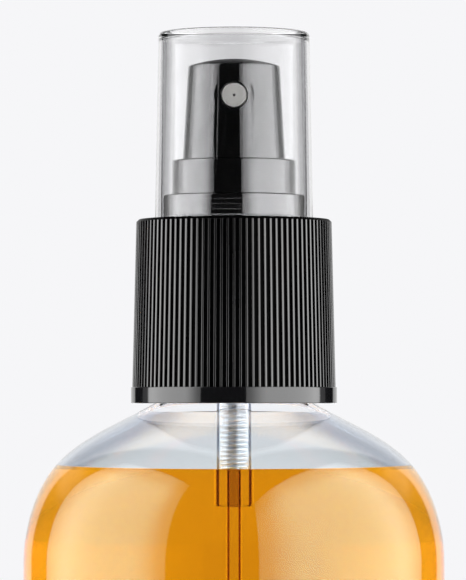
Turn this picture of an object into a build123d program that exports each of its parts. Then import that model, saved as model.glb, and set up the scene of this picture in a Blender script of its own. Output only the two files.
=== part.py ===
from build123d import *
import os
from math import asin, cos, degrees, pi, radians, sin, tan

# Oil bottle with a screw-on fine-mist sprayer and a clear overcap.
# Millimetres, +Z up, origin at the centre of the ring that the bottle stands on.
# The nozzle points along -Y.

# ---------------------------------------------------------------- driving dimensions
BODY_R = 29.5  # bottle's outer radius
WALL = 0.7  # bottle's body wall
HEEL_R = 6.0  # rounding between the body and the base
STAND_R = 21.5  # radius of the ring that the bottle stands on
PUSH_UP = 2.4  # height of the base's dome at its centre
BODY_TOP = 88.1  # where the body ends and the shoulder starts
# shoulder, from the body to the neck: radius, height, steepness in degrees
SHOULDER = [(BODY_R, BODY_TOP, 90), (28.6, 94.6, 76), (25.1, 101.6, 50), (18.4, 106.65, 34), (12.65, 109.6, 28)]
NECK_R = 10.7  # neck's outer radius between the threads
NECK_BORE = 9.0
NECK_TOP = 131.9
OIL_LEVEL = 101.4

THREAD_PITCH = 3.175  # 8 turns to the inch
THREAD_TIP_R = 11.9  # crest of the neck's thread
THREAD_TURNS = 1.5
THREAD_START = 124.4  # middle of the thread at its lower end
CAP_THREAD_R = 10.98  # crest of the closure's thread
THREAD_DROP = 0.9  # how far the closure's thread lies under the neck's

CLOSURE_FOOT = 110.4
CLOSURE_TOP = 136.2
CLOSURE_BORE = 12.15
PLATE = 1.6  # closure's top wall
BAND_TOP = 112.7  # smooth band below the ribs
BAND_R = 14.47
RIB_FOOT_R = 14.33  # crest radius at the foot of the ribs
RIB_HEAD_R = 13.72  # crest radius at the head of the ribs
RIB_DEPTH = 0.36
RIBS = 100
TOWER_R = 9.88  # ring that the overcap grips
TOWER_TOP = 139.6
BEAD = 0.12  # how far a bead stands out of the ring
BEADS = 4
BEAD_PITCH = 0.72

COLLAR_R = 8.7
COLLAR_WELL_R = 7.62
COLLAR_TOP = 144.5
COLLAR_FLOOR = 137.0
TURN_GAP = 0.08  # clearance of parts that turn in one another

ACTUATOR_TOP = 158.75
ACTUATOR_TOP_R = 6.44
ACTUATOR_DRAFT = radians(3.3)
ACTUATOR_CROWN = 1.0
STROKE = 4.4
ACTUATOR_FOOT = COLLAR_FLOOR + STROKE + 0.2

NOZZLE_Z = 153.3
NOZZLE_WELL_R = 1.96
NOZZLE_FACE_R = 1.7
NOZZLE_GROOVE = 1.6
NOZZLE_FACE_Y = -6.42
ORIFICE_R = 0.16

OVERCAP_FOOT = 136.2
OVERCAP_TOP = 162.5
OVERCAP_FOOT_R = 11.12
OVERCAP_TOP_R = 10.6
OVERCAP_WALL = 0.98
OVERCAP_ROOF = 0.85

BARREL_R = 4.8  # pump housing, wide upper barrel
CHAMBER_R = 3.9
SLEEVE_R = 2.45  # slim lower barrel that shows through the bottle
SLEEVE_BORE = 2.2
SKIRT_BORE = 1.9  # below the inlet valve, where the sleeve is thicker
SLEEVE_FOOT = 94.9
SLEEVE_TOP = 111.0
BARREL_FOOT = 113.4
SEAT_FLOOR = 99.8  # underside of the inlet valve's web
SEAT_TOP = 101.0
SEAT_APEX = 99.8  # point of the ball seat's 45 degree cone
SPIGOT_R = 0.84  # nipple that the dip tube is pushed on
FLANGE_FOOT = 132.9  # pump flange over the gasket
FLANGE_TOP = 133.9

TUBE_R = 1.0
TUBE_FOOT = 4.8

STEM_R = 1.7
STEM_BORE = 0.7
STEM_FOOT = 124.6
STEM_TOP = 150.4
SPRING_TOP = 118.9
SPRING_WIRE_R = 0.2
SPRING_COIL_R = 1.77
SPRING_TURNS = 29
BALL_R = 0.9


# ---------------------------------------------------------------- helpers
def turned(face):
    """A solid turned about Z from a face drawn flat as (radius, height)."""
    return revolve(Plane.XZ * face, Axis.Z, 360)


def lathe(points):
    """A solid turned about Z from the corners of its outline, as (radius, height)."""
    return turned(make_face(Polyline(*points, close=True)))


def ring(r_in, r_out, z_low, z_high):
    """A plain tube or washer about Z."""
    return lathe([(r_in, z_low), (r_out, z_low), (r_out, z_high), (r_in, z_high)])


def rod(radius, z_low, z_high):
    """A plain cylinder about Z."""
    return lathe([(0, z_low), (radius, z_low), (radius, z_high), (0, z_high)])


def thread(root_r, tip_r, turns, z_start, width):
    """A helical ridge with sloping flanks, from root_r to tip_r."""
    height = turns * THREAD_PITCH
    path = Pos(0, 0, z_start) * Helix(THREAD_PITCH, height, root_r)
    base_half = width / 2
    tip_half = base_half - abs(tip_r - root_r) * tan(radians(25))
    corners = [(root_r, -base_half), (tip_r, -tip_half), (tip_r, tip_half), (root_r, base_half)]
    section = Plane.XZ * Pos(0, z_start) * make_face(Polyline(*corners, close=True))
    return sweep(section, path, is_frenet=True)


def rib_outline(crest_r, z):
    """The closure's toothed outline at one height: crests and grooves of equal width."""
    pitch = 2 * pi / RIBS
    points = []
    for rib in range(RIBS):
        middle = rib * pitch
        for turn, radius in ((-0.33, 0), (-0.18, 1), (0.18, 1), (0.33, 0)):
            r = crest_r - RIB_DEPTH * (1 - radius)
            angle = middle + turn * pitch
            points.append((r * cos(angle), r * sin(angle), z))
    return make_face(Polyline(*points, close=True))


def bottle_form(inset, neck_r, top):
    """The bottle's outer form, or its inner form when inset by the wall, up to a height in the neck."""
    shoulder = [(r - inset * sin(radians(a)), z - inset * cos(radians(a))) for r, z, a in SHOULDER]
    steep = radians(SHOULDER[-1][2])
    body_r = BODY_R - inset
    heel = HEEL_R - inset
    dome = PUSH_UP + inset
    base = Bezier((0, dome), (STAND_R * 0.55, dome), (STAND_R * 0.8, inset), (STAND_R, inset))
    ledge = Line((STAND_R, inset), (body_r - heel, inset))
    corner = CenterArc((body_r - heel, HEEL_R), heel, -90, 90)
    side = Line((body_r, HEEL_R), shoulder[0])
    curve = Spline(*shoulder, tangents=[(0, 1), (-cos(steep), sin(steep))])
    end_r, end_z = shoulder[-1]
    neck_foot = end_z + (end_r - neck_r) * tan(steep)
    throat = Polyline(shoulder[-1], (neck_r, neck_foot), (neck_r, top), (0, top), (0, dome))
    return turned(make_face(base + ledge + corner + side + curve + throat))


# ---------------------------------------------------------------- bottle and contents
def make_bottle():
    body = bottle_form(0, NECK_R, NECK_TOP) - bottle_form(WALL, NECK_BORE, NECK_TOP + 1)
    ridge = thread(NECK_R - 0.25, THREAD_TIP_R, THREAD_TURNS, THREAD_START, 1.7)
    return body + ridge


def make_oil():
    gap = 0.02
    filled = bottle_form(WALL + gap, NECK_BORE, NECK_TOP) & rod(BODY_R, 0, OIL_LEVEL)
    sleeve = ring(SKIRT_BORE - gap, SLEEVE_R + gap, SLEEVE_FOOT - gap, OIL_LEVEL + 1)
    web = rod(SLEEVE_R + gap, SEAT_FLOOR - gap, OIL_LEVEL + 1)
    tube = ring(SPIGOT_R - gap, TUBE_R + gap, TUBE_FOOT - gap, OIL_LEVEL + 1)
    spigot = rod(TUBE_R, SLEEVE_FOOT - gap, OIL_LEVEL)
    return filled - sleeve - web - tube - spigot


# ---------------------------------------------------------------- closure
def make_closure():
    ribbed = loft([rib_outline(RIB_FOOT_R, CLOSURE_FOOT + 1), rib_outline(RIB_HEAD_R, CLOSURE_TOP)], ruled=True)
    # the top edge is rounded by a cone, so that every rib ends in a slope
    hat = lathe([(0, CLOSURE_FOOT), (BAND_R + 2, CLOSURE_FOOT), (BAND_R + 2, CLOSURE_TOP - 3.6),
                 (RIB_HEAD_R - 0.38, CLOSURE_TOP), (0, CLOSURE_TOP)])
    band = lathe([(CLOSURE_BORE, CLOSURE_FOOT), (BAND_R - 0.25, CLOSURE_FOOT), (BAND_R, CLOSURE_FOOT + 0.3),
                  (BAND_R, BAND_TOP - 0.15), (BAND_R - 0.15, BAND_TOP), (CLOSURE_BORE, BAND_TOP)])
    bead_points = []
    for bead in range(BEADS):
        middle = CLOSURE_TOP + 0.45 + bead * BEAD_PITCH
        bead_points += [(TOWER_R, middle - 0.2), (TOWER_R + BEAD, middle), (TOWER_R, middle + 0.2)]
    hole = COLLAR_R + TURN_GAP
    tower = lathe([(hole, CLOSURE_TOP - PLATE), (TOWER_R, CLOSURE_TOP - PLATE)] + bead_points
                  + [(TOWER_R, TOWER_TOP - 0.2), (TOWER_R - 0.2, TOWER_TOP), (hole, TOWER_TOP)])
    body = (ribbed & hat) + band
    body -= rod(CLOSURE_BORE, CLOSURE_FOOT - 1, CLOSURE_TOP - PLATE)
    body -= rod(hole, CLOSURE_FOOT, CLOSURE_TOP + 1)
    # the closure's thread bears upwards on the underside of the neck's thread
    ridge = thread(CLOSURE_BORE + 0.25, CAP_THREAD_R, THREAD_TURNS, THREAD_START - THREAD_DROP, 1.5)
    return body + tower + ridge


def make_overcap():
    inner_foot = OVERCAP_FOOT_R - OVERCAP_WALL
    inner_top = OVERCAP_TOP_R - OVERCAP_WALL + 0.42
    roof = OVERCAP_TOP - OVERCAP_ROOF
    shell = lathe([(0, OVERCAP_FOOT), (OVERCAP_FOOT_R, OVERCAP_FOOT), (OVERCAP_TOP_R, OVERCAP_TOP), (0, OVERCAP_TOP)])
    shell = fillet(shell.edges().sort_by(Axis.Z)[-1], 0.7)
    hollow = lathe([(0, OVERCAP_FOOT - 1), (inner_foot, OVERCAP_FOOT - 1), (inner_foot, OVERCAP_FOOT),
                    (inner_top, roof), (0, roof)])
    hollow = fillet(hollow.edges().sort_by(Axis.Z)[-1], 0.5)
    return shell - hollow


# ---------------------------------------------------------------- pump, fixed parts
def make_gasket():
    return ring(BARREL_R + 0.1, NECK_R + 0.2, NECK_TOP, FLANGE_FOOT)


def make_housing():
    outside = lathe([
        (0, SLEEVE_FOOT), (SLEEVE_R - 0.15, SLEEVE_FOOT), (SLEEVE_R, SLEEVE_FOOT + 0.15), (SLEEVE_R, SLEEVE_TOP),
        (BARREL_R, BARREL_FOOT), (BARREL_R, FLANGE_FOOT), (10.4, FLANGE_FOOT), (10.4, FLANGE_TOP),
        (5.4, FLANGE_TOP), (5.4, 135.9), (0, 135.9)])
    chamber = lathe([
        (0, SEAT_APEX + 0.5), (0.5, SEAT_APEX + 0.5), (SEAT_TOP - SEAT_APEX, SEAT_TOP), (SLEEVE_BORE, SEAT_TOP),
        (SLEEVE_BORE, SLEEVE_TOP), (CHAMBER_R, BARREL_FOOT), (CHAMBER_R, 137), (0, 137)])
    skirt = ring(SPIGOT_R, SKIRT_BORE, SLEEVE_FOOT - 1, SEAT_FLOOR)
    duct = rod(0.4, SLEEVE_FOOT - 1, SEAT_TOP)
    vent = Pos(CHAMBER_R + 0.5, 0, 129.4) * Rot(0, 90, 0) * Cylinder(0.35, 2)
    return outside - chamber - skirt - duct - vent


def make_dip_tube():
    tube = ring(SPIGOT_R, TUBE_R, TUBE_FOOT, SEAT_FLOOR)
    slant = Pos(0, 0, TUBE_FOOT) * Rot(0, 35, 0) * Pos(0, 0, -5) * Box(20, 20, 10)
    return tube - slant


def make_collar():
    foot = FLANGE_TOP
    ledge = CLOSURE_TOP - PLATE
    outside = lathe([
        (7.3, foot), (10.6, foot), (10.6, ledge), (COLLAR_R, ledge), (COLLAR_R, COLLAR_TOP - 0.2),
        (COLLAR_R - 0.2, COLLAR_TOP), (COLLAR_WELL_R + 0.15, COLLAR_TOP), (COLLAR_WELL_R, COLLAR_TOP - 0.15),
        (COLLAR_WELL_R, COLLAR_FLOOR), (2.9, COLLAR_FLOOR), (2.9, COLLAR_FLOOR + 1.2),
        (STEM_R + TURN_GAP, COLLAR_FLOOR + 1.2), (STEM_R + TURN_GAP, 136.0), (5.45, 136.0),
        (5.45, foot), (6.4, foot), (6.4, 136.0), (7.3, 136.0)])
    return outside


def make_gland():
    return lathe([
        (STEM_R + 0.04, 132.65), (2.6, 132.65), (2.6, 133.2), (CHAMBER_R - 0.01, 133.2), (CHAMBER_R - 0.01, 135.9),
        (STEM_R + 0.04, 135.9)])


# ---------------------------------------------------------------- pump, moving parts
def make_stem():
    body = lathe([
        (0, STEM_FOOT), (1.3, STEM_FOOT), (1.3, 126.2), (2.3, 126.2), (2.3, 126.98), (STEM_R, 126.98),
        (STEM_R, 131.7), (2.3, 131.7), (2.3, 132.6), (STEM_R, 132.6), (STEM_R, STEM_TOP), (0, STEM_TOP)])
    bore = rod(STEM_BORE, 127.1, STEM_TOP + 1)
    socket = rod(0.84, STEM_FOOT - 1, 126.3)
    ports = Pos(0, 0, 127.4) * Rot(90, 0, 0) * Cylinder(0.28, 6)
    return body - bore - socket - ports


def make_piston():
    return lathe([
        (STEM_R + 0.04, 127.0), (2.5, 127.0), (2.5, 128.6), (3.2, 128.6), (CHAMBER_R - 0.02, 127.4),
        (CHAMBER_R - 0.02, 131.2), (3.2, 130.2), (2.5, 130.2), (2.5, 131.0), (STEM_R + 0.04, 131.0)])


def make_spring_plunger():
    return lathe([
        (0, 112.5), (1.1, 112.5), (1.45, 113.2), (1.45, SPRING_TOP), (2.4, SPRING_TOP), (2.4, 123.9),
        (2.0, STEM_FOOT), (0.8, STEM_FOOT), (0.8, 126.1), (0, 126.1)])


def make_return_spring():
    wire = SPRING_WIRE_R
    height = SPRING_TOP - SEAT_TOP - 2 * wire - 0.04
    foot = SEAT_TOP + wire + 0.02
    path = Pos(0, 0, foot) * Helix(height / SPRING_TURNS, height, SPRING_COIL_R)
    section = Plane(origin=path @ 0, z_dir=path % 0) * Circle(wire)
    return sweep(section, path, is_frenet=True)


def make_inlet_ball():
    # the ball rests on the cone of its seat, with a hair's gap
    return Pos(0, 0, SEAT_APEX + BALL_R * 2 ** 0.5 + 0.01) * Sphere(BALL_R)


def make_actuator():
    foot_r = ACTUATOR_TOP_R + (ACTUATOR_TOP - ACTUATOR_CROWN - ACTUATOR_FOOT) * tan(ACTUATOR_DRAFT)
    wall = 1.0
    edge_z = ACTUATOR_TOP - ACTUATOR_CROWN
    crown_r = (ACTUATOR_TOP_R ** 2 + ACTUATOR_CROWN ** 2) / (2 * ACTUATOR_CROWN)
    crown = CenterArc((0, ACTUATOR_TOP - crown_r), crown_r, 90, -degrees(asin(ACTUATOR_TOP_R / crown_r)))
    sides = Polyline((0, ACTUATOR_TOP), (0, ACTUATOR_FOOT), (foot_r, ACTUATOR_FOOT), (ACTUATOR_TOP_R, edge_z))
    face = make_face(crown + sides)
    outside = turned(fillet(face.vertices().sort_by(Axis.X)[-2], 0.4))
    hollow = lathe([(3.1, ACTUATOR_FOOT - 1), (foot_r - wall, ACTUATOR_FOOT - 1), (foot_r - wall, ACTUATOR_FOOT),
                    (ACTUATOR_TOP_R - wall + 0.1, ACTUATOR_TOP - 1.9), (3.1, ACTUATOR_TOP - 1.9)])
    hollow -= Pos(0, -4, NOZZLE_Z) * Box(5.6, 8, 5.6)
    below_post = rod(3.2, ACTUATOR_FOOT - 1, 143.2)
    socket = rod(STEM_R, 143, STEM_TOP)
    rise = rod(0.6, STEM_TOP - 1, NOZZLE_Z)
    along = Rot(90, 0, 0)
    well = Pos(0, -7.4, NOZZLE_Z) * along * Cylinder(NOZZLE_WELL_R, 8)
    pin = Pos(0, -4.4, NOZZLE_Z) * along * Cylinder(0.9, 2.6)
    feed = Pos(0, -2, NOZZLE_Z - 1.2) * along * Cylinder(0.35, 4)
    return outside - hollow - below_post - socket - rise - well + pin - feed


def make_nozzle_insert():
    along = Rot(90, 0, 0)
    depth = 2.6
    cup = Pos(0, NOZZLE_FACE_Y + depth / 2, NOZZLE_Z) * along * Cylinder(NOZZLE_WELL_R, depth)
    face = Pos(0, NOZZLE_FACE_Y + NOZZLE_GROOVE / 2, NOZZLE_Z) * along * Cylinder(NOZZLE_WELL_R + 1, NOZZLE_GROOVE)
    face -= Pos(0, NOZZLE_FACE_Y + NOZZLE_GROOVE / 2, NOZZLE_Z) * along * Cylinder(NOZZLE_FACE_R, NOZZLE_GROOVE)
    hollow = Pos(0, NOZZLE_FACE_Y + 1.8, NOZZLE_Z) * along * Cylinder(1.15, 2.2)
    orifice = Pos(0, NOZZLE_FACE_Y + 0.3, NOZZLE_Z) * along * Cylinder(ORIFICE_R, 2)
    return cup - face - hollow - orifice


# ---------------------------------------------------------------- write the parts
parts = {
    "bottle": make_bottle,
    "oil": make_oil,
    "closure": make_closure,
    "overcap": make_overcap,
    "gasket": make_gasket,
    "pump_housing": make_housing,
    "dip_tube": make_dip_tube,
    "collar": make_collar,
    "gland": make_gland,
    "stem": make_stem,
    "piston": make_piston,
    "spring_plunger": make_spring_plunger,
    "return_spring": make_return_spring,
    "inlet_ball": make_inlet_ball,
    "actuator": make_actuator,
    "nozzle_insert": make_nozzle_insert,
}
os.makedirs("parts", exist_ok=True)
for name, make in parts.items():
    solid = make()
    solid.label = name
    export_step(solid, f"parts/{name}.step")
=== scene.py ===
import math
from math import cos, pi, radians, sin

import bpy
import numpy as np
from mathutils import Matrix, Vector


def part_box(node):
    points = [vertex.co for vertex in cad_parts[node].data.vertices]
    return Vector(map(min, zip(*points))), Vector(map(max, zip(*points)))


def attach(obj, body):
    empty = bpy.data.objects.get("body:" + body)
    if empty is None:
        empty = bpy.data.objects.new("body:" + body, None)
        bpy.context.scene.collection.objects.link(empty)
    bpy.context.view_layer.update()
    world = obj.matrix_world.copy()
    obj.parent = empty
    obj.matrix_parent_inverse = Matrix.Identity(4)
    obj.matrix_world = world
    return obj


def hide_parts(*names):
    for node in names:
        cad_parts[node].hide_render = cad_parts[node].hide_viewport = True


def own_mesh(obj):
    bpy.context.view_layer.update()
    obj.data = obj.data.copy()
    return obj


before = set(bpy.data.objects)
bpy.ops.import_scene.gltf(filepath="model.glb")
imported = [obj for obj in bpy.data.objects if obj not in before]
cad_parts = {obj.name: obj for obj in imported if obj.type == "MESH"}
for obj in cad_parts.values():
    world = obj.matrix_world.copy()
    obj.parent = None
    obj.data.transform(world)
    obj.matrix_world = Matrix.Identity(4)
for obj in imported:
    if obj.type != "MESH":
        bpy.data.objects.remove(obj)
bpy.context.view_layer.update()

# Oil bottle with a screw closure, a fine-mist pump and a clear overcap.
# Sizes are in millimetres and turned into metres when a mesh is made. Heights come from the CAD boxes.
MM = 0.001


def low(node):
    """A CAD node's lowest height in millimetres."""
    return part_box(node)[0].z / MM


def high(node):
    """A CAD node's greatest height in millimetres."""
    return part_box(node)[1].z / MM


def reach(node):
    """A CAD node's greatest distance from the axis along X in millimetres."""
    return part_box(node)[1].x / MM


# ---------------------------------------------------------------- sizes
BODY_R = reach("bottle")
WALL = 0.7
HEEL_R = 6.0
STAND_R = 21.5
PUSH_UP = 2.4
BASE_TOP = 9.0
# shoulder, from the body to the neck: radius and height
SHOULDER = [(BODY_R, 88.1), (28.6, 94.6), (25.1, 101.6), (18.4, 106.65), (12.65, 109.6)]
NECK_SLOPE = radians(28)
NECK_R = 10.7
NECK_BORE = 9.0
NECK_FOOT = 110.64
NECK_TOP = high("bottle")
NECK_RING_FROM = 109.2
NECK_RING_TO = 111.6
OIL_LEVEL = high("oil")
OIL_GAP = 0.02
OIL_OVERLAP = 0.1
THREAD_PITCH = 3.175
THREAD_TURNS = 1.5
THREAD_START = 124.4
THREAD_DROP = 0.9
NECK_THREAD = 1.2
CLOSURE_THREAD = 1.1

CLOSURE_FOOT = low("closure")
TOWER_TOP = high("closure")
CLOSURE_TOP = low("overcap")
CLOSURE_BORE = 12.15
PLATE = 1.6
BAND_R = reach("closure")
BAND_HEIGHT = 2.3
BAND_TOP = CLOSURE_FOOT + BAND_HEIGHT
RIBBED_HEIGHT = 25.8
RIB_FOOT_R = 14.33
RIB_HEAD_R = 13.72
RIB_DEPTH = 0.36
# half widths in rib pitches: of a rib's flat, of its shoulders and of its foot
RIB_FLAT = 0.11
RIB_SIDE = 0.19
RIB_GROOVE = 0.22
RIB_ROUND = 0.10
RIBS = 100
TOP_EDGE = 0.36
TOWER_R = 9.88
BEAD = 0.04
BEADS = 4
BEAD_PITCH = 0.72
BEAD_FIRST = 0.45

COLLAR_R = 8.7
COLLAR_WELL_R = 7.62
COLLAR_TOP = high("collar")
COLLAR_FOOT = low("collar")
COLLAR_FLOOR = 137.0
COLLAR_BORE = 1.78
COLLAR_FLANGE_R = 10.6

ACTUATOR_TOP = high("actuator")
ACTUATOR_FOOT = low("actuator")
ACTUATOR_FOOT_R = reach("actuator")
ACTUATOR_TOP_R = 6.44
ACTUATOR_CROWN = 1.0
NOZZLE_Z = (low("nozzle_insert") + high("nozzle_insert")) / 2
NOZZLE_FACE_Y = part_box("nozzle_insert")[0].y / MM
NOZZLE_WELL_R = 1.96
NOZZLE_FACE_R = 1.70
ORIFICE_R = 0.16

OVERCAP_TOP = high("overcap")
OVERCAP_FOOT_R = reach("overcap")
OVERCAP_TOP_R = 10.6
OVERCAP_WALL = 0.98
OVERCAP_ROOF = 0.85
OVERCAP_THINNER = 0.42

SLEEVE_FOOT = low("pump_housing")
HOUSING_TOP = high("pump_housing")
SLEEVE_R = 2.45
SLEEVE_TOP = 111.0
SLEEVE_BORE = 2.2
SKIRT_BORE = 1.9
BARREL_R = 4.8
BARREL_FOOT = 113.4
CHAMBER_R = 3.9
SEAT_FLOOR = 99.8
SEAT_TOP = 101.0
SPIGOT_R = 0.84
DUCT_R = 0.4
TUBE_R = reach("dip_tube")
TUBE_FOOT = low("dip_tube")

SPRING_WIRE_R = 0.2
SPRING_COIL_R = 1.77
SPRING_TURNS = 29


# ---------------------------------------------------------------- outlines
def rounded(corners, steps=8):
    """A polyline through (radius, height, rounding) corners, with each rounding as an arc."""
    points = []
    count = len(corners)
    for i, corner in enumerate(corners):
        here = np.array(corner[:2], float)
        size = corner[2] if len(corner) > 2 else 0
        if not size:
            points.append(tuple(here))
            continue
        back = np.array(corners[i - 1][:2], float) - here
        ahead = np.array(corners[(i + 1) % count][:2], float) - here
        back /= np.linalg.norm(back)
        ahead /= np.linalg.norm(ahead)
        half = math.acos(np.clip(back @ ahead, -1, 1)) / 2
        middle = here + (back + ahead) / np.linalg.norm(back + ahead) * size / sin(half)
        start = here + back * size / math.tan(half) - middle
        end = here + ahead * size / math.tan(half) - middle
        swing = pi - 2 * half
        for k in range(steps + 1):
            t = k / steps
            arm = (start * sin((1 - t) * swing) + end * sin(t * swing)) / sin(swing)
            points.append(tuple(middle + arm))
    return points


def spline(points, start, end, step=0.4):
    """A smooth cubic curve through the points, with unit tangents at its two ends."""
    p = np.array(points, float)
    t = np.concatenate([[0], np.cumsum(np.linalg.norm(np.diff(p, axis=0), axis=1))])
    h = np.diff(t)
    n = len(p)
    a = np.zeros((n, n))
    b = np.zeros((n, 2))
    a[0, 0] = a[-1, -1] = 1
    b[0], b[-1] = start, end
    for i in range(1, n - 1):
        a[i, i - 1 : i + 2] = h[i], 2 * (h[i - 1] + h[i]), h[i - 1]
        b[i] = 3 * (h[i] * (p[i] - p[i - 1]) / h[i - 1] + h[i - 1] * (p[i + 1] - p[i]) / h[i])
    m = np.linalg.solve(a, b)
    curve = []
    for i in range(n - 1):
        for k in range(max(2, round(h[i] / step))):
            s = k / max(2, round(h[i] / step))
            curve.append((2 * s**3 - 3 * s**2 + 1) * p[i] + (s**3 - 2 * s**2 + s) * h[i] * m[i]
                         + (3 * s**2 - 2 * s**3) * p[i + 1] + (s**3 - s**2) * h[i] * m[i + 1])
    return [tuple(c) for c in curve] + [tuple(p[-1])]


def offset(points, distance):
    """A polyline moved sideways, to the left of its direction."""
    p = np.array(points, float)
    along = np.gradient(p, axis=0)
    along /= np.linalg.norm(along, axis=1)[:, None]
    return [tuple(q) for q in p + distance * np.stack([-along[:, 1], along[:, 0]], axis=1)]


def densified(points, low_z, high_z, step):
    """The polyline with more points on its upright stretches between two heights."""
    result = [points[0]]
    for (r0, z0), (r1, z1) in zip(points, points[1:]):
        inside = min(z0, z1) >= low_z - 1e-6 and max(z0, z1) <= high_z + 1e-6
        cuts = max(1, round(abs(z1 - z0) / step)) if inside else 1
        result += [(r0 + (r1 - r0) * k / cuts, z0 + (z1 - z0) * k / cuts) for k in range(1, cuts + 1)]
    return result


# ---------------------------------------------------------------- meshes
def mesh_piece(name, vertices, faces, sharp=38):
    """A mesh object from millimetre vertices, smooth but for edges sharper than the angle."""
    mesh = bpy.data.meshes.new(name)
    mesh.from_pydata([Vector(v) * MM for v in vertices], [], faces)
    mesh.update()
    mesh.polygons.foreach_set("use_smooth", [True] * len(mesh.polygons))
    mesh.set_sharp_from_angle(angle=radians(sharp))
    piece = bpy.data.objects.new(name, mesh)
    bpy.context.scene.collection.objects.link(piece)
    return piece


def lathe(name, outline, steps=192, shape=None, sharp=38, turns=None):
    """A closed solid turned about Z from an outline of (radius, height) that runs anticlockwise.
    turns are the angles of its columns, and shape(radius, height, angle) may change a radius."""
    turns = turns or [2 * pi * k / steps for k in range(steps)]
    steps = len(turns)
    vertices, rings = [], []
    for r, z in outline:
        if r < 1e-6:
            rings.append([len(vertices)])
            vertices.append((0, 0, z))
            continue
        ring = []
        for angle in turns:
            radius = shape(r, z, angle) if shape else r
            ring.append(len(vertices))
            vertices.append((radius * cos(angle), radius * sin(angle), z))
        rings.append(ring)
    faces = []
    for lower, upper in zip(rings, rings[1:] + rings[:1]):
        if len(lower) == 1 and len(upper) == 1:
            continue
        for k in range(steps):
            n = (k + 1) % steps
            if len(lower) == 1:
                faces.append((lower[0], upper[n], upper[k]))
            elif len(upper) == 1:
                faces.append((lower[k], lower[n], upper[0]))
            else:
                faces.append((lower[k], lower[n], upper[n], upper[k]))
    return mesh_piece(name, vertices, faces, sharp)


def face_forward(piece, y):
    """Turns a piece made about Z so that +Z becomes -Y, and moves its foot to y and the nozzle's height."""
    for v in piece.data.vertices:
        x, depth, up = v.co
        v.co = (x, y * MM - up, NOZZLE_Z * MM + depth)
    piece.data.update()
    return piece


def cut(piece, *tools):
    """Cuts tools out of a piece."""
    for tool in tools:
        modifier = piece.modifiers.new("cut", "BOOLEAN")
        modifier.operation = "DIFFERENCE"
        modifier.solver = "EXACT"
        modifier.object = tool
    graph = bpy.context.evaluated_depsgraph_get()
    mesh = bpy.data.meshes.new_from_object(piece.evaluated_get(graph))
    piece.modifiers.clear()
    piece.data = mesh
    mesh.set_sharp_from_angle(angle=radians(38))
    for tool in tools:
        bpy.data.objects.remove(tool)
    return piece


def place(piece, body, node, slot, *materials):
    """Gives a piece its materials, hangs it on the body that it rides on and hides the CAD node that it
    stands for.
    """
    for material in materials:
        piece.data.materials.append(material)
    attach(piece, body)
    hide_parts(node)
    return piece


# ---------------------------------------------------------------- material nodes
class Tree:
    """Short calls for building a node tree."""

    def __init__(self, owner):
        owner.use_nodes = True
        self.tree = owner.node_tree
        self.tree.nodes.clear()

    def node(self, kind, inputs=(), **settings):
        made = self.tree.nodes.new(kind)
        for key, value in settings.items():
            setattr(made, key, value)
        for key, value in dict(inputs).items():
            if isinstance(value, bpy.types.NodeSocket):
                self.tree.links.new(value, made.inputs[key])
            else:
                made.inputs[key].default_value = value
        return made

    def maths(self, operation, *values):
        return self.node("ShaderNodeMath", dict(enumerate(values)), operation=operation).outputs[0]

    def blend(self, share, one, other):
        """A colour between two others."""
        inputs = {"Factor": share, "A": one, "B": other}
        return self.node("ShaderNodeMix", inputs, data_type="RGBA").outputs["Result"]

    def facing(self):
        """0 where the surface is seen square on, 1 where it is seen edge on."""
        return self.node("ShaderNodeLayerWeight", {"Blend": 0.5}).outputs["Facing"]

    def step(self, value, start, end, low_value=0.0, high_value=1.0):
        """A smooth step from one value to another."""
        inputs = {"Value": value, "From Min": start, "From Max": end, "To Min": low_value,
                  "To Max": high_value}
        return self.node("ShaderNodeMapRange", inputs, interpolation_type="SMOOTHSTEP").outputs["Result"]

    def noise(self, scale, detail=2.0, vector=None):
        inputs = {"Scale": scale, "Detail": detail}
        if vector is not None:
            inputs["Vector"] = vector
        return self.node("ShaderNodeTexNoise", inputs).outputs["Fac"]

    def place(self):
        return self.node("ShaderNodeTexCoord").outputs["Object"]

    def bump(self, height, strength, distance):
        inputs = {"Height": height, "Strength": strength, "Distance": distance}
        return self.node("ShaderNodeBump", inputs).outputs[0]

    def principled(self, **inputs):
        named = {key.replace("_", " "): value for key, value in inputs.items()}
        return self.node("ShaderNodeBsdfPrincipled", named).outputs[0]

    def output(self, surface, volume=None):
        sockets = {"Surface": surface}
        if volume is not None:
            sockets["Volume"] = volume
        self.node("ShaderNodeOutputMaterial", sockets)


def clear_plastic(name, tint, ior, ripple=0.01, slant_shade=None, slant=(0.5, 2.0), soft=0.12,
                  glint=(1.0, 1.0, 1.0), fade=None):
    """A clear moulding whose surface ripples a little. slant_shade is painted shade: its tint where it is
    seen at a slant between the two limits. glint is the tint of what it mirrors, and fade gives two heights
    and the tint that its own changes to between them, painted light where that tint is paler."""
    material = bpy.data.materials.new(name)
    t = Tree(material)
    at = t.place()
    inputs = {"Base_Color": (*tint, 1), "IOR": ior, "Transmission_Weight": 1.0, "Roughness": 0.0,
              "Specular_Tint": (*glint, 1), "Normal": t.bump(t.noise(90, 1.0, at), ripple, 0.0004)}
    own = (*tint, 1)
    # a tint that changes with height; painted light where it grows paler
    if fade:
        height = t.node("ShaderNodeSeparateXYZ", {0: at}).outputs[2]
        share = t.step(height, fade[0] * MM, fade[1] * MM)
        own = t.blend(share, own, fade[2])
        inputs["Base_Color"] = own
    # painted shade: a darker tint where the surface is seen at a slant
    if slant_shade:
        facing = t.facing()
        begun = t.step(facing, slant[0] - soft, slant[0] + soft)
        ended = t.step(facing, slant[1] - soft, slant[1] + soft, 1.0, 0.0)
        share = t.maths("MULTIPLY", begun, ended)
        inputs["Base_Color"] = t.blend(share, own, (*slant_shade, 1))
    t.output(t.principled(**inputs))
    return material


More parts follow.
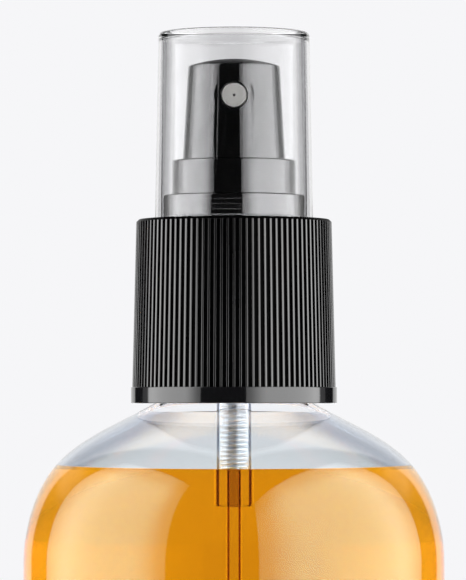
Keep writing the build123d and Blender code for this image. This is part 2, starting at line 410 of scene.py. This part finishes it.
def black_gloss(name, roughness, scale, shade, ior=1.5, painted_rims=()):
    """Polished black moulding: faint flow marks in its colour, polish and surface. shade scales its colour
    for lighter and
    darker copies: painted light and shade. Each of its painted_rims changes how much it mirrors, beyond a
    slant, by a factor: painted shade."""
    dark = (0.0012 * shade, 0.0012 * shade, 0.0014 * shade, 1)
    light = (0.0026 * shade, 0.0026 * shade, 0.0029 * shade, 1)
    material = bpy.data.materials.new(name)
    t = Tree(material)
    at = t.place()
    marks = t.noise(scale, 3.0, at)
    grain = t.noise(scale * 12, 2.0, at)
    inputs = {"Base_Color": t.blend(marks, dark, light), "IOR": ior,
              "Roughness": t.step(marks, 0.3, 0.7, roughness * 0.8, roughness * 1.25),
              "Normal": t.bump(grain, 0.03, 0.00005)}
    # painted shade: less mirrored light beyond each slant
    if painted_rims:
        facing = t.facing()
        level = 0.5
        for slant, share in painted_rims:
            level = t.maths("MULTIPLY", t.step(facing, slant - 0.015, slant + 0.015, 1.0, share), level)
        inputs["Specular_IOR_Level"] = level
    t.output(t.principled(**inputs))
    return material


def plain_plastic(name, dark, light, roughness, scale, sheen=0.03, painted_glow=0.0):
    """Unpigmented moulding: mottled between two shades, with a fine skin. painted_glow is painted light that
    it gives off, though it is no lamp.
    """
    material = bpy.data.materials.new(name)
    t = Tree(material)
    at = t.place()
    marks = t.noise(scale, 4.0, at)
    shade = t.blend(marks, (*dark, 1), (*light, 1))
    t.output(t.principled(
        Base_Color=shade, Roughness=t.step(marks, 0.3, 0.7, roughness * 0.85, roughness * 1.2),
        Normal=t.bump(t.noise(scale * 10, 2.0, at), sheen, 0.00005),
        Emission_Color=shade, Emission_Strength=painted_glow))
    return material


def bright_steel(name, roughness, metal):
    """Drawn spring steel: bright, with fine draw marks."""
    material = bpy.data.materials.new(name)
    t = Tree(material)
    marks = t.noise(900, 3.0, t.place())
    shade = t.blend(marks, (0.72, 0.82, 0.97, 1), (0.84, 0.93, 1.0, 1))
    t.output(t.principled(Base_Color=shade, Metallic=metal,
                          Roughness=t.step(marks, 0.3, 0.7, roughness * 0.7, roughness * 1.3)))
    return material


def oil_body(name):
    """The oil's skin and its depth: slightly cloudy amber at the surface, deeper in the middle."""
    material = bpy.data.materials.new(name)
    t = Tree(material)
    deep = t.node("ShaderNodeVolumeAbsorption", {"Color": (1.0, 0.82, 0.02, 1), "Density": 42.0}).outputs[0]
    cloud = t.noise(60, 3.0, t.place())
    shade = t.blend(cloud, (0.71, 0.41, 0.045, 1), (0.75, 0.45, 0.055, 1))
    t.output(t.principled(Base_Color=shade, IOR=OIL_IOR, Transmission_Weight=1.0, Roughness=0.0), deep)
    return material


def unseen(name):
    """Where the oil wets the pump: no boundary shows, and the plastic's own surface is seen."""
    material = bpy.data.materials.new(name)
    t = Tree(material)
    t.output(t.node("ShaderNodeBsdfTransparent", {"Color": (1, 1, 1, 1)}).outputs[0])
    return material


OIL_IOR = 1.13
PLASTIC_IOR = 1.5
WETTED_IOR = 1.06
BOTTLE_IOR = 1.4
OVERCAP_IOR = 1.3
OVERCAP_TINT = (0.81, 0.81, 0.82)
BOTTLE = clear_plastic("bottle_plastic", (1.0, 1.0, 1.0), BOTTLE_IOR, ripple=0.02)
FILLED = clear_plastic("bottle_filled", (1.0, 1.0, 1.0), BOTTLE_IOR, ripple=0.02, glint=(0.43, 1.0, 1.0))
# The dry inside's grey-blue tint and darker slant tint are painted shade, and its paler tint from 103.3 to
# 106 mm up is painted light.
DRY = clear_plastic("bottle_dry_inside", (0.87, 0.91, 0.935), BOTTLE_IOR, slant_shade=(0.40, 0.45, 0.55),
                    slant=(0.625, 2.0), soft=0.06, fade=(103.3, 106.0, (0.93, 0.97, 1.0, 1)))
NECK_RING = clear_plastic("bottle_neck_ring", (0.97, 0.98, 1.0), 1.04)
OIL = oil_body("oil_body")
OIL_AT_PUMP = unseen("oil_at_pump")
# The overcap's slant tint is painted shade: a grey band down each side of its wall.
OVERCAP = clear_plastic("overcap_plastic", OVERCAP_TINT, OVERCAP_IOR, ripple=0.004, slant_shade=(0.50, 0.50, 0.51),
                        slant=(0.43, 0.74), soft=0.03, glint=(0.6, 0.6, 0.6))
OVERCAP_GRIP = clear_plastic("overcap_grip", OVERCAP_TINT, OVERCAP_IOR, ripple=0.004,
                             slant_shade=(0.50, 0.50, 0.51), slant=(0.43, 0.74), soft=0.03, glint=(0.2, 0.2, 0.2))
OVERCAP_ENDS = clear_plastic("overcap_top", OVERCAP_TINT, OVERCAP_IOR, ripple=0.004, glint=(0.6, 0.6, 0.6))
# The slant tints of the housing, of its sleeve in the oil and of the dip tube are painted shade: dark lines
# along their sides.
HOUSING = clear_plastic("housing_plastic", (0.96, 0.97, 0.98), PLASTIC_IOR, slant_shade=(0.25, 0.29, 0.40),
                        slant=(0.52, 2.0), soft=0.04)
HOUSING_IN_OIL = clear_plastic("housing_in_oil", (0.96, 0.96, 0.96), WETTED_IOR, slant_shade=(0.10, 0.02, 0.3),
                               slant=(0.34, 0.48), soft=0.03)
SKIRT_INSIDE = clear_plastic("skirt_inside", (0.98, 0.98, 0.98), WETTED_IOR)
SPIGOT = clear_plastic("spigot_plastic", (0.60, 0.46, 0.85), WETTED_IOR)
TUBE = clear_plastic("tube_plastic", (0.97, 0.97, 0.97), WETTED_IOR, slant_shade=(0.30, 0.08, 0.3),
                     slant=(0.25, 0.37), soft=0.02)
# Copies of one black plastic: the band's rims paint dark side strips, and the higher ior of the ribs' crests,
# tower, collar and actuator paints brighter highlights.
BLACK_CLOSURE = black_gloss("closure_black", 0.06, 120, 2.2, painted_rims=((0.445, 0.05), (0.69, 20.0)))
BLACK_RIB = black_gloss("rib_black", 0.06, 120, 0.8, ior=1.58)
# This copy mirrors almost nothing: painted shade in the grooves and on top faces.
BLACK_PAINTED_SHADE = black_gloss("black_painted_shade", 0.3, 120, 0.4, ior=1.05)
BLACK_TOWER = black_gloss("tower_black", 0.05, 160, 0.6, ior=2.0, painted_rims=((0.50, 0.5), (0.64, 0.0)))
BLACK_COLLAR = black_gloss("collar_black", 0.05, 160, 0.6, ior=1.84, painted_rims=((0.44, 0.55),))
BLACK_ACTUATOR = black_gloss("actuator_black", 0.05, 160, 0.6, ior=1.77, painted_rims=((0.43, 0.52), (0.61, 0.6)))
# The closure's pale inside also gives off painted light.
CLOSURE_INSIDE = plain_plastic("closure_inside", (0.80, 0.82, 0.85), (0.86, 0.88, 0.91), 0.5, 300, painted_glow=0.62)
NOZZLE = plain_plastic("nozzle_natural", (0.27, 0.265, 0.25), (0.31, 0.305, 0.29), 0.35, 700)
STEM = plain_plastic("stem_natural", (0.70, 0.69, 0.65), (0.80, 0.79, 0.75), 0.4, 300)
PISTON = plain_plastic("piston_natural", (0.66, 0.68, 0.68), (0.75, 0.77, 0.77), 0.45, 300)
GASKET = plain_plastic("gasket_foam", (0.70, 0.69, 0.66), (0.86, 0.85, 0.82), 0.9, 900, sheen=0.4)
SEAL = plain_plastic("seal_rubber", (0.55, 0.54, 0.51), (0.66, 0.65, 0.62), 0.6, 400)
SPRING = bright_steel("spring_steel", 0.12, 0.3)
BALL = bright_steel("ball_steel", 0.06, 1.0)


# ---------------------------------------------------------------- bottle and oil
def bottle_side():
    """The bottle's outer outline from the centre of its base to the foot of the neck."""
    dome = [(0, PUSH_UP), (STAND_R * 0.55, PUSH_UP), (STAND_R * 0.8, 0), (STAND_R, 0)]
    base = []
    for k in range(25):
        t = k / 25
        weights = ((1 - t) ** 3, 3 * t * (1 - t) ** 2, 3 * t**2 * (1 - t), t**3)
        base.append(tuple(sum(w * c[i] for w, c in zip(weights, dome)) for i in (0, 1)))
    heel = []
    for k in range(17):
        angle = radians(-90 + 90 * k / 16)
        heel.append((BODY_R - HEEL_R + HEEL_R * cos(angle), HEEL_R + HEEL_R * sin(angle)))
    body = [(BODY_R, HEEL_R + (SHOULDER[0][1] - HEEL_R) * k / 12) for k in range(1, 12)]
    shoulder = spline(SHOULDER, (0, 1), (-cos(NECK_SLOPE), sin(NECK_SLOPE)))
    return base + [(STAND_R, 0)] + heel + body + shoulder


def thread_rise(z, angle, start):
    """How far up the thread's flank a point lies, from 0 beside it to 1 on its crest."""
    rise = 0.0
    for turn in range(math.ceil(THREAD_TURNS) + 1):
        travel = angle / (2 * pi) + turn
        if travel > THREAD_TURNS:
            break
        beside = abs(z - (start + travel * THREAD_PITCH))
        lead = min(1.0, travel * 12, (THREAD_TURNS - travel) * 12)
        rise = max(rise, lead * min(1.0, max(0.0, (0.85 - beside) / 0.6)))
    return rise


def neck_shape(r, z, angle):
    """The neck's radius, with the thread on it."""
    if abs(r - NECK_R) > 0.01 or z < THREAD_START - 1:
        return r
    return r + NECK_THREAD * thread_rise(z, angle, THREAD_START)


def make_bottle():
    outer = bottle_side()
    inner = offset(outer, WALL)
    inner[0] = (0, PUSH_UP + WALL)
    inner = [p for p in inner if p[0] > -1e-6]
    neck = rounded([outer[-1], (NECK_R, NECK_FOOT, 0.6), (NECK_R, NECK_TOP, 0.3), (NECK_BORE, NECK_TOP, 0.3),
                    (NECK_BORE, NECK_FOOT + 0.1, 1.2), inner[-1]])
    neck = densified(neck[1:-1], THREAD_START - 1.2, NECK_TOP - 0.4, 0.2)
    outline = outer + neck + inner[::-1]
    piece = lathe("bottle_clear", outline, 256, neck_shape)
    for face in piece.data.polygons:
        centre = face.center / MM
        inward = face.normal.x * centre.x + face.normal.y * centre.y < 0 or face.normal.z > 0.5
        radius = math.hypot(centre.x, centre.y)
        inside = inward and radius < BODY_R - WALL / 2
        if centre.z < OIL_LEVEL:
            face.material_index = 2 if centre.z > BASE_TOP else 0
        elif NECK_RING_FROM < centre.z < NECK_RING_TO:
            face.material_index = 3
        elif inside:
            face.material_index = 1
    return place(piece, "bottle", "bottle", "clear_bottle", BOTTLE, DRY, FILLED, NECK_RING)


def make_oil():
    wall = [p for p in offset(bottle_side(), WALL - OIL_OVERLAP) if p[1] < OIL_LEVEL]
    wall[0] = (0, PUSH_UP + WALL - OIL_OVERLAP)
    (r0, z0), (r1, z1) = wall[-2:]
    rim = (r1 + (r1 - r0) * (OIL_LEVEL - z1) / (z1 - z0), OIL_LEVEL)
    gap = OIL_GAP
    around = SLEEVE_R + gap
    within = SKIRT_BORE - gap
    tube = TUBE_R + gap
    core = SPIGOT_R - gap
    spigot_foot = SLEEVE_FOOT - gap
    seat = SEAT_FLOOR - gap
    tube_foot = TUBE_FOOT - gap
    pump_side = [(around, OIL_LEVEL), (around, spigot_foot), (within, spigot_foot), (within, seat),
                 (tube, seat), (tube, tube_foot), (core, tube_foot), (core, spigot_foot),
                 (DUCT_R - gap, spigot_foot), (DUCT_R - gap, SEAT_FLOOR), (0, SEAT_FLOOR)]
    piece = lathe("oil_fill", wall + [rim] + pump_side, 256)
    for face in piece.data.polygons:
        radius = math.hypot(face.center.x, face.center.y) / MM
        if radius < around + 0.01 and face.center.z / MM > TUBE_FOOT - 1 and not face.normal.z > 0.9:
            face.material_index = 1
    return place(piece, "bottle", "oil", "oil", OIL, OIL_AT_PUMP)


# ---------------------------------------------------------------- closure
def rib_radius(crest, angle):
    """The ribbed outline: flat crests with round shoulders, steep sides and flat grooves."""
    beside = abs((angle / (2 * pi / RIBS) + 0.5) % 1 - 0.5)
    if beside < RIB_FLAT:
        return crest
    if beside < RIB_SIDE - 1e-4:
        turn = (beside - RIB_FLAT) / (RIB_SIDE - RIB_FLAT)
        return crest - RIB_ROUND * (1 - math.sqrt(max(0.0, 1 - turn * turn)))
    if beside < RIB_GROOVE - 1e-4:
        return crest - RIB_ROUND - (RIB_DEPTH - RIB_ROUND) * (beside - RIB_SIDE) / (RIB_GROOVE - RIB_SIDE)
    return crest - RIB_DEPTH


def rib_turns():
    """Angles of the columns round one rib after another, close together where its shoulders are round."""
    round_part = [RIB_FLAT + (RIB_SIDE - RIB_FLAT) * sin(pi / 2 * k / 5) for k in range(6)]
    half = [0.0] + round_part + [RIB_GROOVE, 0.4]
    across = [-b for b in reversed(half[1:])] + half
    return [2 * pi / RIBS * (rib + b) for rib in range(RIBS) for b in across]


def crest_radius(z):
    """The ribs' crest, which leans in a little from the band to the top."""
    return RIB_FOOT_R + (RIB_HEAD_R - RIB_FOOT_R) * (z - CLOSURE_FOOT) / (CLOSURE_TOP - CLOSURE_FOOT)


def closure_shape(r, z, angle):
    """The closure's radius, with the ribs outside and the thread in its bore."""
    if r > CLOSURE_BORE + 0.3 and BAND_TOP - 0.01 < z < CLOSURE_TOP - TOP_EDGE - 0.001:
        return min(r, rib_radius(crest_radius(z), angle))
    if abs(r - CLOSURE_BORE) < 0.01 and THREAD_START - 3 < z:
        return r - CLOSURE_THREAD * thread_rise(z, angle, THREAD_START - THREAD_DROP)
    return r


def make_closure():
    hole = COLLAR_R + 0.08
    crest_foot = RIB_FOOT_R - (RIB_FOOT_R - RIB_HEAD_R) * BAND_HEIGHT / RIBBED_HEIGHT
    rib_head = CLOSURE_TOP - TOP_EDGE
    corners = [(CLOSURE_BORE, CLOSURE_FOOT, 0.2), (BAND_R, CLOSURE_FOOT, 0.12), (BAND_R, BAND_TOP, 0.12),
               (crest_foot, BAND_TOP), (RIB_HEAD_R, rib_head - 0.01), (RIB_HEAD_R, rib_head),
               (RIB_HEAD_R - TOP_EDGE, CLOSURE_TOP), (TOWER_R, CLOSURE_TOP)]
    for bead in range(BEADS):
        middle = CLOSURE_TOP + BEAD_FIRST + bead * BEAD_PITCH
        corners += [(TOWER_R, middle - 0.2), (TOWER_R + BEAD, middle, 0.15), (TOWER_R, middle + 0.2)]
    corners += [(TOWER_R, TOWER_TOP, 0.3), (hole, TOWER_TOP, 0.1), (hole, CLOSURE_TOP - PLATE),
                (CLOSURE_BORE, CLOSURE_TOP - PLATE, 0.3)]
    outline = rounded(corners, 6)
    outline = densified(outline, CLOSURE_FOOT + 8, CLOSURE_TOP - PLATE - 0.25, 0.3)
    piece = lathe("closure_ribbed", outline, shape=closure_shape, sharp=40, turns=rib_turns())
    # Grooves, the top edge and the tower's top get the painted shade copy, which mirrors almost nothing, and
    # the ribs' crests a copy that mirrors more, as painted highlight.
    for face in piece.data.polygons:
        centre = face.center / MM
        radius = math.hypot(centre.x, centre.y)
        deep = radius < crest_radius(centre.z) - RIB_ROUND - 0.01
        if centre.z > TOWER_TOP - 0.15:
            face.material_index = 2
        elif centre.z > CLOSURE_TOP + 0.01:
            face.material_index = 1
        elif radius < CLOSURE_BORE + 0.1 or face.normal.z < -0.9 and centre.z < BAND_TOP:
            face.material_index = 4
        elif centre.z > BAND_TOP + 0.01:
            face.material_index = 2 if deep or centre.z > rib_head else 3
    return place(piece, "closure", "closure", "black_closure", BLACK_CLOSURE, BLACK_TOWER, BLACK_PAINTED_SHADE,
                 BLACK_RIB, CLOSURE_INSIDE)


def make_overcap():
    roof = OVERCAP_TOP - OVERCAP_ROOF
    foot_r = OVERCAP_FOOT_R - OVERCAP_WALL
    roof_r = OVERCAP_TOP_R - OVERCAP_WALL + OVERCAP_THINNER
    grip_r = foot_r - (foot_r - roof_r) * (TOWER_TOP - CLOSURE_TOP) / (roof - CLOSURE_TOP)
    outline = rounded([
        (0, OVERCAP_TOP), (0, roof), (roof_r, roof, 0.5), (grip_r, TOWER_TOP), (foot_r, CLOSURE_TOP, 0.12),
        (OVERCAP_FOOT_R, CLOSURE_TOP, 0.15), (OVERCAP_TOP_R, OVERCAP_TOP, 0.45)], 12)
    piece = lathe("overcap_clear", outline, 256)
    for face in piece.data.polygons:
        inside = math.hypot(face.center.x, face.center.y) < (OVERCAP_FOOT_R - 0.5) * MM
        if abs(face.normal.z) > 0.9 and face.center.z > (roof - 0.1) * MM:
            face.material_index = 2
        elif inside and face.center.z < TOWER_TOP * MM:
            face.material_index = 1
    return place(piece, "overcap", "overcap", "clear_overcap", OVERCAP, OVERCAP_GRIP, OVERCAP_ENDS)


# ---------------------------------------------------------------- pump
def make_collar():
    ledge = CLOSURE_TOP - PLATE
    floor = COLLAR_FLOOR
    lip = floor + 1.2
    under = floor - 1.0
    outline = rounded([
        (7.3, COLLAR_FOOT), (COLLAR_FLANGE_R, COLLAR_FOOT, 0.1), (COLLAR_FLANGE_R, ledge, 0.1),
        (COLLAR_R, ledge), (COLLAR_R, COLLAR_TOP, 0.35), (COLLAR_WELL_R, COLLAR_TOP, 0.15),
        (COLLAR_WELL_R, floor, 0.3),
        (2.9, floor, 0.2), (2.9, lip, 0.15), (COLLAR_BORE, lip), (COLLAR_BORE, under), (5.45, under),
        (5.45, COLLAR_FOOT), (6.4, COLLAR_FOOT), (6.4, under), (7.3, under)])
    piece = lathe("collar_turned", outline, 192)
    # Its top face gets the painted shade copy, which mirrors almost nothing.
    for face in piece.data.polygons:
        face.material_index = 1 if face.center.z > (COLLAR_TOP - 0.17) * MM else 0
    return place(piece, "pump", "collar", "black_pump", BLACK_COLLAR, BLACK_PAINTED_SHADE)


def make_housing():
    outline = rounded([
        (SPIGOT_R, SLEEVE_FOOT), (SPIGOT_R, SEAT_FLOOR), (SKIRT_BORE, SEAT_FLOOR, 0.15),
        (SKIRT_BORE, SLEEVE_FOOT, 0.12), (SLEEVE_R, SLEEVE_FOOT, 0.15), (SLEEVE_R, OIL_LEVEL),
        (SLEEVE_R, SLEEVE_TOP, 0.6), (BARREL_R, BARREL_FOOT, 0.6),
        (BARREL_R, 132.9), (10.4, 132.9, 0.1), (10.4, 133.9, 0.1), (5.4, 133.9), (5.4, HOUSING_TOP, 0.1),
        (CHAMBER_R, HOUSING_TOP, 0.1), (CHAMBER_R, BARREL_FOOT, 0.4), (SLEEVE_BORE, SLEEVE_TOP, 0.4),
        (SLEEVE_BORE, SEAT_TOP, 0.2),
        (1.2, SEAT_TOP), (0.5, SEAT_TOP - 0.7), (DUCT_R, SEAT_TOP - 0.7), (DUCT_R, SLEEVE_FOOT)])
    piece = lathe("housing_clear", outline, 128)
    for face in piece.data.polygons:
        radius = math.hypot(face.center.x, face.center.y) / MM
        if radius > SLEEVE_BORE + 0.1 and face.center.z < (OIL_LEVEL - 0.01) * MM:
            face.material_index = 1
        elif face.center.z < (SEAT_FLOOR + 0.01) * MM:
            face.material_index = 2 if abs(radius - SPIGOT_R) < 0.02 else 3
    return place(piece, "pump", "pump_housing", "clear_housing", HOUSING, HOUSING_IN_OIL, SPIGOT,
                 SKIRT_INSIDE)


def make_dip_tube():
    outline = rounded([(SPIGOT_R, TUBE_FOOT), (TUBE_R, TUBE_FOOT, 0.05), (TUBE_R, SEAT_FLOOR),
                       (SPIGOT_R, SEAT_FLOOR)], 3)
    piece = lathe("dip_tube_clear", outline, 96)
    for v in piece.data.vertices:
        if v.co.z < (TUBE_FOOT + 0.3) * MM:
            v.co.z += 0.7 * (v.co.x + TUBE_R * MM)
    return place(piece, "pump", "dip_tube", "dip_tube", TUBE)


def make_spring():
    """A coil of round wire with flat closed ends."""
    foot = SEAT_TOP + SPRING_WIRE_R + 0.02
    height = high("return_spring") - SPRING_WIRE_R - foot
    around, along = 14, SPRING_TURNS * 56
    vertices, faces = [], []
    for i in range(along + 1):
        share = i / along
        angle = 2 * pi * SPRING_TURNS * share
        centre = Vector((SPRING_COIL_R * cos(angle), SPRING_COIL_R * sin(angle), foot + height * share))
        outward = Vector((cos(angle), sin(angle), 0))
        for k in range(around):
            turn = 2 * pi * k / around
            vertices.append(centre + SPRING_WIRE_R * (cos(turn) * outward + sin(turn) * Vector((0, 0, 1))))
    for i in range(along):
        for k in range(around):
            n = (k + 1) % around
            a, b = i * around, (i + 1) * around
            faces.append((a + k, a + n, b + n, b + k))
    faces.append(tuple(range(around - 1, -1, -1)))
    faces.append(tuple(along * around + k for k in range(around)))
    piece = mesh_piece("spring_coil", vertices, faces, sharp=60)
    place(piece, "pump", "return_spring", "spring_steel", SPRING)
    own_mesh(piece)
    return piece


def make_actuator():
    rim = ACTUATOR_TOP - ACTUATOR_CROWN
    crown = [(ACTUATOR_TOP_R * k / 16, ACTUATOR_TOP - ACTUATOR_CROWN * (k / 16) ** 2)
             for k in range(15, 0, -1)]
    wall = 1.0
    inner_top = ACTUATOR_TOP - 1.9
    outline = rounded([
        (0, 150.4), (1.7, 150.4), (1.7, 143.2), (3.1, 143.2), (3.1, inner_top),
        (ACTUATOR_TOP_R - wall + 0.1, inner_top, 0.3), (ACTUATOR_FOOT_R - wall, ACTUATOR_FOOT, 0.1),
        (ACTUATOR_FOOT_R, ACTUATOR_FOOT, 0.15), (ACTUATOR_TOP_R, rim, 0.4), crown[0]], 8)[:-1]
    piece = lathe("actuator_shell", outline + crown + [(0, ACTUATOR_TOP)], 256)
    boss = face_forward(lathe("boss", [(0, 2.2), (2.8, 2.2), (2.8, 6.2), (0, 6.2)], 64), 0)
    join = piece.modifiers.new("boss", "BOOLEAN")
    join.operation = "UNION"
    join.solver = "EXACT"
    join.object = boss
    well = face_forward(lathe("well", [(0, 3.4), (NOZZLE_WELL_R, 3.4), (NOZZLE_WELL_R, 12), (0, 12)], 96), 0)
    cut(piece, well)
    bpy.data.objects.remove(boss)
    place(piece, "actuator", "actuator", "black_pump", BLACK_ACTUATOR, BLACK_PAINTED_SHADE)
    # Its crown gets the painted shade copy, which mirrors almost nothing.
    for face in piece.data.polygons:
        face.material_index = 1 if face.center.z > (rim + 0.02) * MM else 0
    return piece


def make_nozzle():
    depth = 2.6
    face = -NOZZLE_FACE_Y
    outline = rounded([
        (1.15, face - depth), (NOZZLE_WELL_R - 0.01, face - depth), (NOZZLE_WELL_R - 0.01, face - 1.9),
        (NOZZLE_FACE_R, face - 1.9), (NOZZLE_FACE_R, face, 0.12), (0.3, face, 0.03), (ORIFICE_R, face - 0.1),
        (ORIFICE_R, face - 0.7), (1.15, face - 0.7)], 5)
    piece = face_forward(lathe("nozzle_cup", outline, 96), 0)
    return place(piece, "actuator", "nozzle_insert", "nozzle_plastic", NOZZLE)


def finish_inner_parts():
    """The pieces inside the pump keep their CAD shape and get their own materials."""
    inner = {"stem": STEM, "spring_plunger": STEM, "piston": PISTON, "gasket": GASKET, "gland": SEAL,
             "inlet_ball": BALL}
    for node, material in inner.items():
        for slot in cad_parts[node].material_slots:
            slot.material = material


# ---------------------------------------------------------------- studio
def make_world():
    """A pale studio: a white backdrop behind the object and a tall soft box on each side, in a dim room."""
    world = bpy.data.worlds.new("studio")
    bpy.context.scene.world = world
    t = Tree(world)
    way = t.node("ShaderNodeSeparateXYZ", {0: t.node("ShaderNodeTexCoord").outputs["Generated"]}).outputs
    # degrees round from the camera's side, positive to its right, and degrees above the horizon
    round_rad = t.maths("ARCTAN2", way[0], t.maths("MULTIPLY", way[1], -1.0))
    round_deg = t.maths("MULTIPLY", round_rad, 180 / pi)
    above = t.maths("MULTIPLY", t.maths("ARCSINE", way[2]), 180 / pi)
    size = t.maths("ABSOLUTE", round_deg)

    def patch(value, start, end, soft):
        inside = t.step(value, start - soft, start + soft)
        beyond = t.step(value, end - soft, end + soft, 1.0, 0.0)
        return t.maths("MULTIPLY", inside, beyond)

    def soft_box(side, start, rise, middle, peak, level):
        """An upright flat box: its top edge is highest at its middle, and it dims towards its edges."""
        turn = t.maths("MULTIPLY", round_deg, side)
        lean = t.maths("COSINE", t.maths("MULTIPLY", t.maths("SUBTRACT", turn, middle), pi / 180))
        rise_rad = t.maths("ARCTANGENT", t.maths("MULTIPLY", lean, math.tan(radians(peak))))
        top = t.maths("MULTIPLY", rise_rad, 180 / pi)
        under = t.maths("SUBTRACT", above, top)
        first = t.step(turn, start - 0.6, start + 0.6, 0.0, 0.3)
        front = t.maths("ADD", first, t.step(turn, start, start + rise, 0.0, 0.7))
        back = t.step(turn, 100, 126, 1.0, 0.30)
        end = t.step(turn, 122.5, 124, 1.0, 0.0)
        dim = t.step(under, -16, 0, 1.0, 0.45)
        tall = t.step(under, -0.8, 0.8, 1.0, 0.0)
        shade = level
        for part in (front, back, end, dim, tall):
            shade = t.maths("MULTIPLY", part, shade)
        return shade

    left = soft_box(-1.0, 37.5, 20, 75, 62, 6.0)
    right = soft_box(1.0, 13.5, 26, 76, 63, 6.2)
    room = 0.03
    pale = t.step(size, 160, 180, 1.0, 0.9)
    backdrop = t.maths("MULTIPLY", patch(size, 146, 400, 2.0), pale)
    # the gap between a soft box and the backdrop is paler a little way up
    paler = t.maths("MULTIPLY", patch(above, 19, 33, 4.0), 0.35)
    gap = t.maths("MULTIPLY", patch(size, 124, 146, 2.0), paler)
    backdrop = t.maths("ADD", backdrop, gap)
    light = t.maths("ADD", t.maths("ADD", left, right), t.maths("ADD", backdrop, room))
    seen = t.node("ShaderNodeLightPath").outputs
    # what shows straight through the clear pieces: a pale cloth instead of the bright face of a soft box
    cloth = t.maths("ADD", t.maths("ADD", backdrop, room), t.step(size, 122, 124, 1.0, 0.0))
    cloth = t.maths("MAXIMUM", cloth, t.step(above, -12, -6, 1.0, 0.0))
    mirrored = t.maths("GREATER_THAN", t.maths("ADD", seen["Glossy Depth"], seen["Diffuse Depth"]), 0.5)
    light = t.node("ShaderNodeMix", {"Factor": mirrored, "A": cloth, "B": light}).outputs["Result"]
    lamp = t.node("ShaderNodeBackground", {"Color": (1, 1, 1, 1), "Strength": light}).outputs[0]
    plain = t.node("ShaderNodeBackground", {"Color": (0.9216, 0.9216, 0.9387, 1), "Strength": 1.0}).outputs[0]
    shown = t.node("ShaderNodeMixShader", {0: seen["Is Camera Ray"], 1: lamp, 2: plain}).outputs[0]
    t.node("ShaderNodeOutputWorld", {"Surface": shown})


def make_floor():
    """A round pale floor that fades out towards its edge."""
    radius = 900
    steps = 96
    rings = [0.001, 60, 150, 300, 500, 700, radius]
    vertices = [(r * cos(2 * pi * k / steps), r * sin(2 * pi * k / steps), 0)
                for r in rings for k in range(steps)]
    faces = []
    for i in range(len(rings) - 1):
        for k in range(steps):
            n = (k + 1) % steps
            faces.append((i * steps + k, (i + 1) * steps + k, (i + 1) * steps + n, i * steps + n))
    floor = mesh_piece("floor", vertices, faces)
    floor.location.z = -0.00005
    material = bpy.data.materials.new("floor_paper")
    t = Tree(material)
    at = t.place()
    away = t.node("ShaderNodeVectorMath", {0: at}, operation="LENGTH").outputs["Value"]
    fibre = t.noise(350, 4.0, at)
    shade = t.blend(fibre, (0.86, 0.86, 0.87, 1), (0.90, 0.90, 0.91, 1))
    paper = t.principled(Base_Color=shade, Roughness=0.9, Specular_IOR_Level=0.1)
    gone = t.node("ShaderNodeBsdfTransparent").outputs[0]
    fade = t.step(away, 0.18, 0.85)
    t.output(t.node("ShaderNodeMixShader", {0: fade, 1: paper, 2: gone}).outputs[0])
    floor.data.materials.append(material)


def make_camera():
    """A long lens level with the closure's foot, tipped up a little."""
    distance = 0.604
    tip = radians(1.51)
    data = bpy.data.cameras.new("camera")
    data.lens = 267
    data.sensor_width = 36
    camera = bpy.data.objects.new("camera", data)
    camera.location = (-0.00014, -distance, CLOSURE_FOOT * MM)
    camera.rotation_euler = (pi / 2 + tip, 0, 0)
    bpy.context.scene.collection.objects.link(camera)
    bpy.context.scene.camera = camera


make_camera()
make_world()
make_floor()
make_bottle()
make_oil()
make_closure()
make_overcap()
make_collar()
make_housing()
make_dip_tube()
make_spring()
make_actuator()
make_nozzle()
finish_inner_parts()
bpy.context.scene.view_settings.view_transform = "Standard"
for limit in ("max_bounces", "transmission_bounces", "transparent_max_bounces"):
    setattr(bpy.context.scene.cycles, limit, 28)
